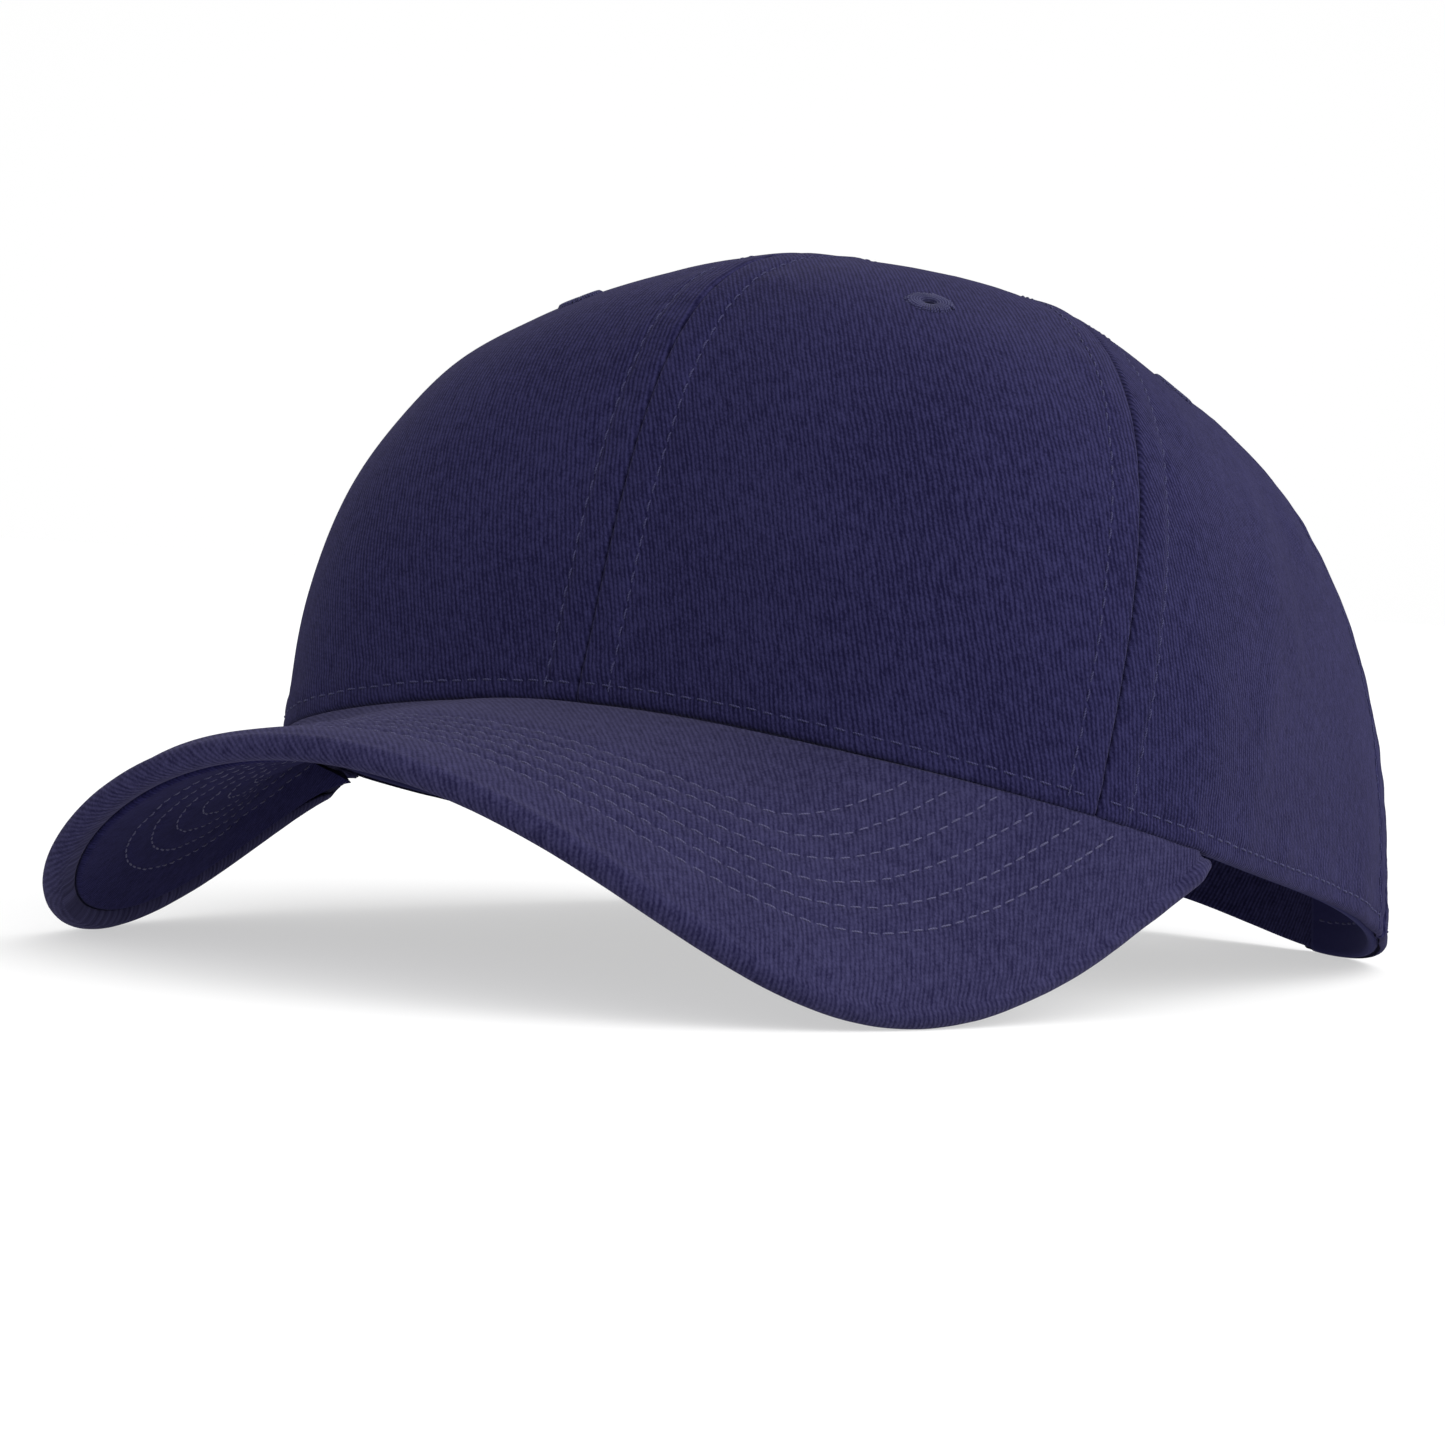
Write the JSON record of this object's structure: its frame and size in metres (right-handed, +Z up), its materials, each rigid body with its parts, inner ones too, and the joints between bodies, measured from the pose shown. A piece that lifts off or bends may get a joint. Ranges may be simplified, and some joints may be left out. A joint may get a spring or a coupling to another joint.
{
  "type": "baseball cap",
  "caption": "Structured six-panel cotton cap with a pre-curved stitched visor, embroidered eyelets, covered button and a hook-and-loop strap across the back opening.",
  "frame": {"origin": "middle of the cap's footprint on the plane it rests on, touching at the two visor tips and the back of the rim", "axes": "+Z up from the resting plane, -Y towards the visor's front edge, +X towards the wearer's left"},
  "size_m": [0.1764, 0.2636, 0.1193],
  "materials": {
    "shell_twill": "brushed cotton twill, matt with a soft nap",
    "visor_twill": "brushed cotton twill, matt with a soft nap",
    "strap_twill": "brushed cotton twill, two ply",
    "sewing_thread": "spun polyester thread, slightly lighter than the cloth",
    "eyelet_thread": "embroidered thread, satin stitch",
    "buckram": "stiffened open-weave cotton, matt",
    "seam_tape": "plain woven tape, matt",
    "sweatband_cotton": "plain cotton, matt",
    "stiffener_felt": "non-woven felt",
    "visor_board_plastic": "moulded polyethylene board",
    "button_plastic": "moulded nylon",
    "rivet_metal": "plain pressed metal",
    "loop_pile": "looped pile",
    "hook_nylon": "moulded hook tape"
  },
  "bodies": {
    "cap": {"front_left_panel": "shell_twill", "front_right_panel": "shell_twill", "side_left_panel": "shell_twill", "side_right_panel": "shell_twill", "back_left_panel": "shell_twill", "back_right_panel": "shell_twill", "front_left_buckram": "buckram", "front_right_buckram": "buckram", "front_left_seam_tape": "seam_tape", "front_right_seam_tape": "seam_tape", "rear_left_seam_tape": "seam_tape", "rear_right_seam_tape": "seam_tape", "center_seam_tape": "seam_tape", "arch_binding": "seam_tape", "sweatband": "sweatband_cotton", "sweatband_stiffener": "stiffener_felt", "visor_top_cover": "visor_twill", "visor_under_cover": "visor_twill", "visor_board": "visor_board_plastic", "visor_stitching": "sewing_thread", "crown_topstitching": "sewing_thread", "hem_stitching": "sewing_thread", "eyelets": "eyelet_thread", "button_cover": "shell_twill", "button_core": "button_plastic", "button_rivet": "rivet_metal", "inner_strap_tab": "strap_twill", "loop_pad": "loop_pile"},
    "strap_tab": {"outer_strap_tab": "strap_twill", "hook_pad": "hook_nylon"}
  },
  "joints": [
    {"name": "strap_peel", "type": "hinge", "parent": "cap", "child": "strap_tab", "pos_m": [-0.042, 0.12343, 0.00171], "axis": [0.077, -0.0233, 0.9968], "range_deg": [0, 100]}
  ]
}
